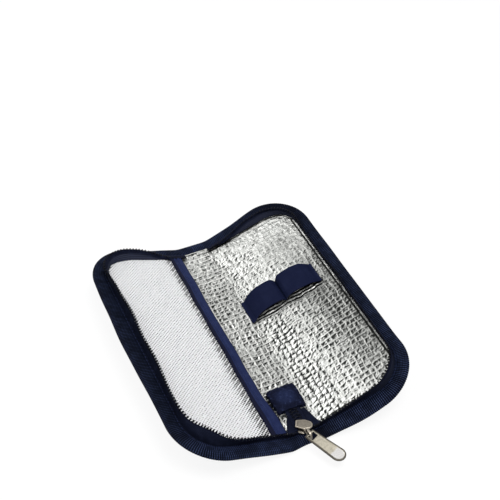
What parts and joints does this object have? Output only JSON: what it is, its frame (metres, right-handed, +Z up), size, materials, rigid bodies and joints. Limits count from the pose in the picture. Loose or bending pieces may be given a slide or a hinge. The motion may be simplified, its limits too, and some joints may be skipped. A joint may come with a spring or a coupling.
{
  "type": "insulin cooling case",
  "caption": "Slim zipped insulated pouch that opens like a book: net pocket on one leaf, elastic pen loops on the other, foil lining, bound edges and a metal zip pull.",
  "frame": {"origin": "middle of the flat underside of the spine, the face the open case stands on", "axes": "+X across the spine to the leaf with the pen loops, +Y along the spine away from the zip slider, +Z up out of the open case"},
  "size_m": [0.1698, 0.2298, 0.0337],
  "materials": {
    "cover_fabric": "smooth navy satin-weave polyester",
    "foam": "soft closed-cell foam sheet",
    "foil_lining": "aluminium-coated woven film with a basket relief",
    "binding_tape": "ribbed navy binding tape",
    "zip_tape": "dark navy woven zip tape",
    "zip_coil": "black nylon coil",
    "net": "white knitted net",
    "satin_ribbon": "navy satin ribbon",
    "elastic": "navy woven elastic",
    "nickel": "nickel-plated die-cast metal"
  },
  "bodies": {
    "spine": {"spine_cover": "cover_fabric", "spine_foam": "foam", "spine_lining": "foil_lining", "spine_binding_near": "binding_tape", "spine_binding_far": "binding_tape", "zip_tail": "zip_tape", "zip_tail_tab": "satin_ribbon"},
    "pocket_leaf": {"pocket_cover": "cover_fabric", "pocket_foam": "foam", "pocket_lining": "foil_lining", "pocket_binding": "binding_tape", "pocket_zip_tape": "zip_tape", "pocket_zip_coil": "zip_coil", "net_pocket": "net", "pocket_mouth_trim": "satin_ribbon"},
    "pen_leaf": {"pen_cover": "cover_fabric", "pen_foam": "foam", "pen_lining": "foil_lining", "pen_binding": "binding_tape", "pen_zip_tape": "zip_tape", "pen_zip_coil": "zip_coil", "pen_strap": "elastic"},
    "slider": {"slider_body": "nickel", "slider_crown": "nickel"},
    "pull": {"pull_tab": "nickel"}
  },
  "joints": [
    {"name": "pocket_fold", "type": "hinge", "parent": "spine", "child": "pocket_leaf", "pos_m": [-0.012, 0, 0.0004], "axis": [0, 1, 0], "range_deg": [-19, 71]},
    {"name": "pen_fold", "type": "hinge", "parent": "spine", "child": "pen_leaf", "pos_m": [0.012, 0, 0.0004], "axis": [0, -1, 0], "range_deg": [-19, 71]},
    {"name": "slider_travel", "type": "slide", "parent": "spine", "child": "slider", "axis": [0, 1, 0], "range_m": [0, 0.004]},
    {"name": "pull_swing", "type": "hinge", "parent": "slider", "child": "pull", "pos_m": [0, -0.1013, 0.0102], "axis": [-0.9063, -0.4226, 0], "range_deg": [-15, 62]}
  ]
}
